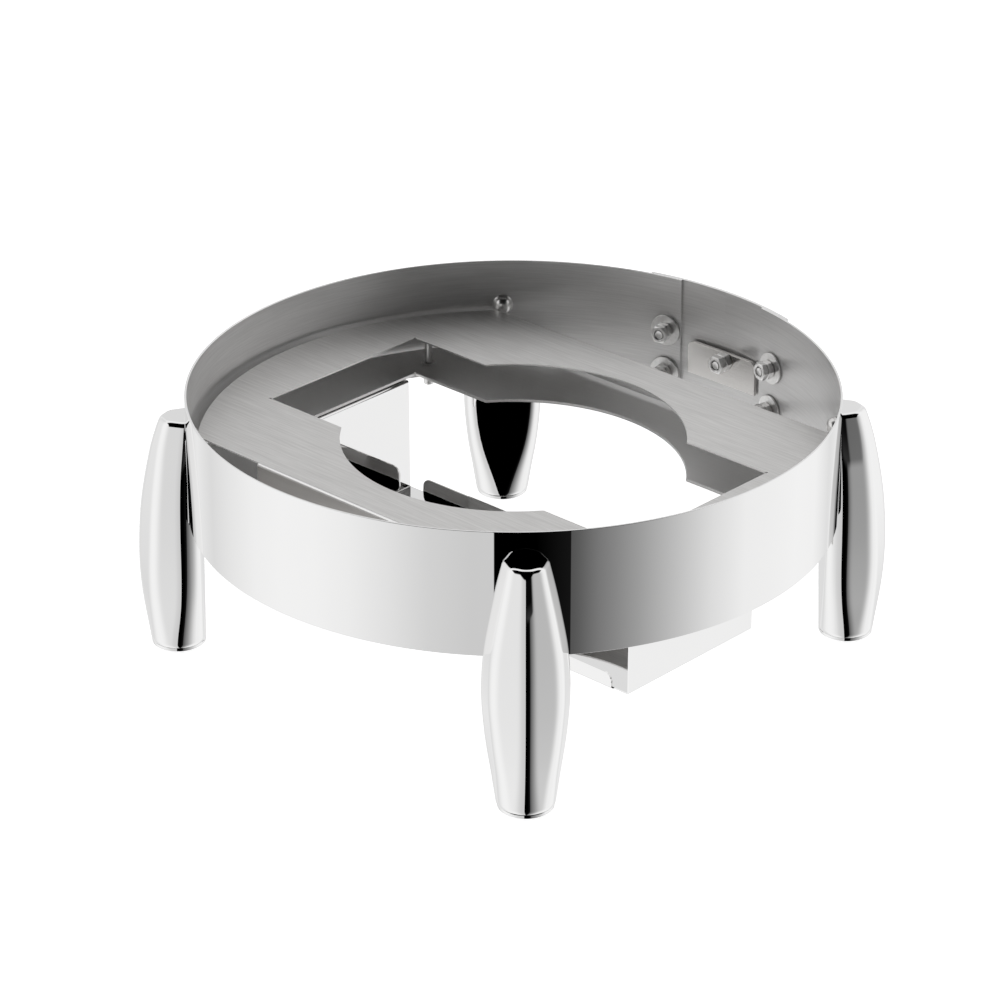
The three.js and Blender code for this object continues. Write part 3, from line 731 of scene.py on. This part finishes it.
def lip_part(sign):
    """A low lip that the floor's long edge turns up into, with rounded upper corners."""
    length, corner = LIP["length"], LIP["corner"]
    full = TRAY["floor"] + LIP["height"]
    half_sheet = (TRAY["sheet"] - SHEET_OVERLAP) / 2
    middle = LIP["outer"] - TRAY["sheet"] / 2
    stations = [-length + corner * (1 - math.cos(a * DEG)) for a in range(0, 91, 9)]
    stations += [-s for s in reversed(stations)]
    rings = []
    for x in stations:
        inside = max(abs(x) - (length - corner), 0)
        crest = full - corner + math.sqrt(max(corner**2 - inside**2, 0))
        path = bent([(TRAY["width"] - LIP["root"], TRAY_MIDDLE), (middle, TRAY_MIDDLE), (middle, crest)],
                    TRAY["bend"])
        loop = offset(path, half_sheet) + offset(path, -half_sheet)[::-1]
        rings.append([(x, sign * y, z) for y, z in loop])
    verts, faces = grid(rings)
    count = len(rings[0])
    start = len(verts) - count
    for i in range(count // 2 - 1):
        faces.append((i, i + 1, count - 2 - i, count - 1 - i))
        faces.append((start + i, start + count - 1 - i, start + count - 2 - i, start + i + 1))
    return verts, faces


mesh_piece("tray", "heater_tray", "mirror_steel", *merge(tray_body(), lip_part(1), lip_part(-1)), [MIRROR],
           smooth=40)


# ---- Legs ----
def eased_value(table, z):
    """The table's curve averaged over a few millimetres, so that reflections show no ripples."""
    spacing, reach, width = 2.5, 4, 8
    steps = range(-reach, reach + 1)
    weights = [math.exp(-k * k / width) for k in steps]
    return sum(w * table_value(table, z + spacing * k) for w, k in zip(weights, steps)) / sum(weights)


def leg_outline(z, inset):
    """Half of the section at a height, from the ridge in front, over two faces, to the middle of the back."""
    tables = LEG_REACH, LEG_HALF, LEG_ROUND, LEG_BACK
    reach, half, radius, width = (eased_value(table, z) for table in tables)
    tip = reach - radius
    side_x, side_y = LEG_INNER + radius, half - radius
    front_slope, side_slope = math.tan(FRONT_FACE), 1 / math.tan(SIDE_FACE)
    run = max((tip - side_x - front_slope * side_y) / (1 - front_slope * side_slope), 0)
    edge_x, edge_y = side_x + run, max(side_y - side_slope * run, 0)
    radius -= inset
    corners = ((tip, 0, 0, FRONT_FACE, 1), (edge_x, edge_y, FRONT_FACE, SIDE_FACE, 1),
               (side_x, side_y, SIDE_FACE, 90 * DEG, 1),
               (side_x, side_y + radius * (1 - width), 90 * DEG, 180 * DEG, width))
    points = []
    for cx, cy, start, end, squash in corners:
        for k in range(CORNER_STEPS + 1):
            a = start + (end - start) * k / CORNER_STEPS
            points.append((cx + radius * math.cos(a), cy + squash * radius * math.sin(a)))
    return points + [(points[-1][0], 0)]


def curve_point(a, b, c, d, t):
    """The value between b and c of a smooth curve through four values in a row (Catmull-Rom)."""
    return b + t / 2 * (c - a + t * (2 * a - 5 * b + 4 * c - d + t * (3 * (b - c) + d - a)))


def resampled(points, count, smooth=False):
    """The polyline cut into count equal lengths. smooth takes a curve through its points."""
    lengths = [0]
    for a, b in zip(points, points[1:]):
        lengths.append(lengths[-1] + math.dist(a, b))
    (x1, y1), (xa, ya), (xb, yb) = points[1], points[-2], points[-1]
    padded = [(x1, -y1)] + points + [(2 * xb - xa, 2 * yb - ya)]
    out, j = [], 0
    for k in range(count + 1):
        target = lengths[-1] * k / count
        while j < len(points) - 2 and lengths[j + 1] < target:
            j += 1
        run = lengths[j + 1] - lengths[j]
        t = (target - lengths[j]) / run if run else 0
        if smooth:
            out.append(tuple(curve_point(*values, t) for values in zip(*padded[j:j + 4])))
        else:
            out.append(tuple(p + (q - p) * t for p, q in zip(points[j], points[j + 1])))
    return out


def softened(half):
    """The half outline with its changes of curvature eased, taken as mirrored beyond both ends."""
    last = len(half) - 1
    steps = range(-EASE, EASE + 1)
    weights = [math.exp(-2 * (k / EASE) ** 2) for k in steps]
    total = sum(weights)
    before = [(x, -y) for x, y in half[EASE:0:-1]]
    after = [(x, -y) for x, y in half[last - 1:last - 1 - EASE:-1]]
    full = before + half + after
    return [(sum(w * full[i + k][0] for k, w in enumerate(weights)) / total,
             sum(w * full[i + k][1] for k, w in enumerate(weights)) / total) for i in range(last + 1)]


def leg_ring(z, inset=0.0, cut=False):
    """Points round the leg at a height. A cut section ends at the band's outer face, not at its own back."""
    half = softened(resampled(leg_outline(z, inset), LEG_FINE_STEPS))
    half[0], half[-1] = (half[0][0], 0), (half[-1][0], 0)
    seat = BAND_OUTER + GAP
    first = next(k for k, point in enumerate(half) if math.hypot(*point) < seat)
    before, after = half[first - 1], half[first]
    t = (math.hypot(*before) - seat) / (math.hypot(*before) - math.hypot(*after))
    meet = tuple(p + (q - p) * t for p, q in zip(before, after))
    outer = resampled(half[:first] + [meet], LEG_OUTER_STEPS, smooth=True)
    if cut:
        turn = math.atan2(meet[1], meet[0])
        turns = [turn * (1 - k / LEG_BACK_STEPS) for k in range(1, LEG_BACK_STEPS + 1)]
        back = [(seat * math.cos(a), seat * math.sin(a)) for a in turns]
    else:
        back = resampled([meet] + half[first:], LEG_BACK_STEPS)[1:]
    loop = outer + back
    return [(x, y, z) for x, y in loop + [(x, -y) for x, y in reversed(loop[1:-1])]]


def leg_part():
    """A bulged leg: whole below the band, cut to fit its outer face above, with a rounded top edge."""
    foot, seat_floor, shoulder = LEG_BASE + FOOT_EDGE, BAND_BOTTOM - GAP, LEG_TOP - LEG_EDGE
    rings = [leg_ring(LEG_BASE, FOOT_EDGE)]
    rings += [leg_ring(foot + (seat_floor - foot) * k / LOW_RINGS) for k in range(LOW_RINGS + 1)]
    rings += [leg_ring(seat_floor + (shoulder - seat_floor) * k / HIGH_RINGS, 0, True)
              for k in range(HIGH_RINGS + 1)]
    for k in range(1, EDGE_RINGS + 1):
        a = 90 * DEG * k / EDGE_RINGS
        rings.append(leg_ring(shoulder + LEG_EDGE * math.sin(a), LEG_EDGE * (1 - math.cos(a)), True))
    rings.append([(x, y, LEG_TOP) for x, y, _ in leg_ring(LEG_TOP, LEG_EDGE + TOP_FLAT, True)])
    verts, faces = grid(rings)
    count = len(rings[0])
    last = len(verts) - count
    return verts, faces + [tuple(reversed(range(count))), tuple(range(last, last + count))]


def pad_part():
    centre = LEG_INNER + PAD_RADIUS
    profile = [(0, 0)] + arc(PAD_RADIUS - PAD_ROUND, PAD_ROUND, PAD_ROUND, -90, 0, 5)
    profile += [(PAD_RADIUS, PAD_HEIGHT - EDGE), (PAD_RADIUS - EDGE, PAD_HEIGHT), (0, PAD_HEIGHT)]
    verts, faces = revolve(profile, PAD_SEGMENTS)
    return [(x + centre, y, z) for x, y, z in verts], faces


def domed_nut_part():
    """A domed nut on a thin collar, along +Z from the axis to the band."""
    rim, collar, radius, depth = (DOMED_NUT[key] for key in ("collar_radius", "collar", "radius", "depth"))
    root, collar_edge = DOMED_NUT["root"], DOMED_NUT["collar_edge"]
    face = flat_on_band(rim)
    step = face - collar
    base = step - DOMED_NUT["barrel"]
    profile = [(radius * math.sin(a * DEG), base - depth * math.cos(a * DEG)) for a in range(0, 91, 5)]
    profile += [(radius, step - root), (radius + root, step), (rim - collar_edge, step),
                (rim, step + collar_edge), (rim, face - EDGE), (rim - EDGE, face), (0, face)]
    return revolve(profile, NUT_SEGMENTS)


def add_legs():
    leg, pad, cap_nut = leg_part(), pad_part(), domed_nut_part()
    for name, angle in LEG_ANGLES.items():
        turn = Matrix.Rotation(angle * DEG, 4, "Z")
        mesh_piece(f"polished_leg_{name}", f"leg_{name}", "mirror_steel", *leg, [MIRROR], matrix=turn,
                   smooth=50, flat_faces=False)
        mesh_piece(f"pad_{name}", f"foot_pad_{name}", "mirror_steel", *pad, [MIRROR], matrix=turn)
        mesh_piece(f"cap_nut_{name}", f"domed_nut_{name}", "mirror_steel", *cap_nut, [CAP],
                   matrix=radial_place(angle, DOMED_NUT["z"]), smooth=35)
        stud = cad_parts[f"leg_stud_{name}"]
        stud.data.materials.clear()
        stud.data.materials.append(ZINC)


add_legs()

# ---- Floor, light and camera ----
CAMERA_PLACE, CAMERA_TARGET = Vector((1.4701, -1.5800, 1.1524)), Vector((-0.0059, -0.0055, 0.0962))
CAMERA_LENS, CAMERA_SENSOR = 136.47, 36.0
FLOOR_HALF = 8.0
MIRROR_TONE = 0.93
ABOVE_ALL = 2.0  # more than any part of a unit direction
# The walls of the studio round the object: the angle from the camera's side in degrees, and the grey that
# a mirror shows there. The black board covers them from -7 to 20 degrees.
STUDIO = [(-180, 217), (-159, 216), (-145, 230), (-131, 217), (-117, 229), (-102, 239), (-88, 242),
          (-73, 241), (-59, 236), (-44, 225), (-29.5, 210), (-14.7, 202), (0, 202), (10, 82), (20, 82),
          (23, 93), (25.5, 104), (29.5, 119), (35.7, 135), (44, 156), (59, 192), (73, 220), (88, 237),
          (102, 239), (117, 242), (131, 240), (145, 221), (159, 230), (180, 217)]
# A black board in front, and the direction from which it turns a little lighter.
BOARD = {"start": -6.55, "end": 19.8, "blur": 0.15, "lighter_from": 8.0, "grey": 20}
# A pale ceiling above an elevation.
CEILING = {"from": 40.0, "soft": 0.03, "grey": 234}
# A dark drape beside the board, from an elevation up, darker towards its top.
DRAPE = {"low": -3.2, "soft": 0.015, "end": 42.0, "blur": 8.0, "grey": 48, "top": 3.0, "top_grey": 8}
# A black canopy overhead. Its edges are given as parts of a unit direction.
CANOPY = {"back": -0.1, "back_soft": 0.03, "low": 0.225, "low_soft": 0.02, "left": -0.66, "right": 0.72,
          "side_soft": 0.04}


def add_camera():
    data = bpy.data.cameras.new("camera")
    data.lens, data.sensor_width = CAMERA_LENS, CAMERA_SENSOR
    data.clip_end = 100
    camera = bpy.data.objects.new("camera", data)
    camera.location = CAMERA_PLACE
    camera.rotation_euler = (CAMERA_TARGET - CAMERA_PLACE).to_track_quat("-Z", "Y").to_euler()
    bpy.context.scene.collection.objects.link(camera)
    bpy.context.scene.camera = camera


def pale_material():
    pale = bpy.data.materials.new("pale_floor")
    pale.use_nodes = True
    inputs = pale.node_tree.nodes["Principled BSDF"].inputs
    inputs["Base Color"].default_value = (0.86, 0.86, 0.86, 1)
    inputs["Roughness"].default_value = 1.0
    inputs["Specular IOR Level"].default_value = 0.0
    inputs["Emission Color"].default_value = (1, 1, 1, 1)
    inputs["Emission Strength"].default_value = 0.8
    return pale


def add_floor():
    h = FLOOR_HALF
    mesh = bpy.data.meshes.new("floor")
    mesh.from_pydata([(-h, -h, 0), (h, -h, 0), (h, h, 0), (-h, h, 0)], [], [(0, 1, 2, 3)])
    mesh.materials.append(pale_material())
    floor = bpy.data.objects.new("floor", mesh)
    bpy.context.scene.collection.objects.link(floor)
    floor.visible_glossy = False
    floor.visible_shadow = False


def radiance(grey):
    """The light level that a mirror turns into a display grey."""
    share = grey / 255
    linear = share / 12.92 if share <= 0.04045 else ((share + 0.055) / 1.055) ** 2.4
    return linear / MIRROR_TONE


def height(elevation):
    return math.sin(elevation * DEG)


def window(tree, value, low, high, soft):
    """1 between low and high, 0 outside, with soft edges."""
    rise = map_range(tree, value, low - soft, low + soft, smooth=True)
    fall = map_range(tree, value, high + soft, high - soft, smooth=True)
    return math_node(tree, "MULTIPLY", rise, fall)


def blend_to(tree, base, level, factor):
    """The base colour turned to a light level, a number or a socket."""
    node = tree.nodes.new("ShaderNodeMix")
    node.data_type = "RGBA"
    link(tree, factor, node.inputs["Factor"])
    link(tree, base, node.inputs["A"])
    if isinstance(level, (int, float)):
        node.inputs["B"].default_value = (level, level, level, 1)
    else:
        link(tree, level, node.inputs["B"])
    return node.outputs["Result"]


def studio_directions(tree):
    """Parts of the direction: towards the camera, to its right and up. Then the angle round from it."""
    split = tree.nodes.new("ShaderNodeSeparateXYZ")
    link(tree, tree.nodes.new("ShaderNodeTexCoord").outputs["Generated"], split.inputs[0])
    x, y, z = split.outputs
    camera_angle = math.atan2(CAMERA_PLACE.y, CAMERA_PLACE.x)
    c, s = math.cos(camera_angle), math.sin(camera_angle)
    ahead = math_node(tree, "ADD", math_node(tree, "MULTIPLY", x, c), math_node(tree, "MULTIPLY", y, s))
    aside = math_node(tree, "SUBTRACT", math_node(tree, "MULTIPLY", y, c), math_node(tree, "MULTIPLY", x, s))
    return ahead, aside, z, math_node(tree, "ARCTAN2", aside, ahead)


def studio_walls(tree, around):
    """The pale walls by their direction round the object."""
    ramp = tree.nodes.new("ShaderNodeValToRGB")
    turn = math_node(tree, "ADD", math_node(tree, "DIVIDE", around, 2 * math.pi), 0.5)
    link(tree, turn, ramp.inputs["Fac"])
    stops = ramp.color_ramp.elements
    while len(stops) > 1:
        stops.remove(stops[-1])
    for i, (angle, grey) in enumerate(STUDIO):
        stop = stops[0] if i == 0 else stops.new(angle / 360 + 0.5)
        stop.position = angle / 360 + 0.5
        level = radiance(grey)
        stop.color = (level, level, level, 1)
    return ramp.outputs["Color"]


def add_board(tree, studio, around):
    start, end = BOARD["start"] * DEG, BOARD["end"] * DEG
    light = map_range(tree, around, BOARD["lighter_from"] * DEG, end, 0.0, radiance(BOARD["grey"]))
    return blend_to(tree, studio, light, window(tree, around, start, end, BOARD["blur"] * DEG))


def add_ceiling(tree, studio, up):
    above = window(tree, up, height(CEILING["from"]), ABOVE_ALL, CEILING["soft"])
    return blend_to(tree, studio, radiance(CEILING["grey"]), above)


def add_drape(tree, studio, up, around):
    low = height(DRAPE["low"])
    light = map_range(tree, up, low, height(DRAPE["top"]), radiance(DRAPE["grey"]),
                      radiance(DRAPE["top_grey"]))
    inside = math_node(tree, "MULTIPLY", window(tree, up, low, ABOVE_ALL, DRAPE["soft"]),
                       window(tree, around, 0, DRAPE["end"] * DEG, DRAPE["blur"] * DEG))
    return blend_to(tree, studio, light, inside)


def add_canopy(tree, studio, ahead, aside, up):
    inside = math_node(tree, "MULTIPLY", window(tree, ahead, CANOPY["back"], ABOVE_ALL, CANOPY["back_soft"]),
                       window(tree, up, CANOPY["low"], ABOVE_ALL, CANOPY["low_soft"]))
    sides = window(tree, aside, CANOPY["left"], CANOPY["right"], CANOPY["side_soft"])
    return blend_to(tree, studio, radiance(0), math_node(tree, "MULTIPLY", inside, sides))


def add_world():
    """The studio as the object sees it, with plain white behind the object in the picture itself."""
    world = bpy.data.worlds.new("studio")
    bpy.context.scene.world = world
    world.use_nodes = True
    tree = world.node_tree
    tree.nodes.clear()
    ahead, aside, up, around = studio_directions(tree)
    studio = studio_walls(tree, around)
    studio = add_board(tree, studio, around)
    studio = add_ceiling(tree, studio, up)
    studio = add_drape(tree, studio, up, around)
    studio = add_canopy(tree, studio, ahead, aside, up)
    seen = tree.nodes.new("ShaderNodeLightPath").outputs["Is Camera Ray"]
    background = tree.nodes.new("ShaderNodeBackground")
    link(tree, blend_to(tree, studio, 1.0, seen), background.inputs["Color"])
    output = tree.nodes.new("ShaderNodeOutputWorld")
    link(tree, background.outputs[0], output.inputs["Surface"])


bpy.context.scene.view_settings.view_transform = "Standard"
add_camera()
add_floor()
add_world()
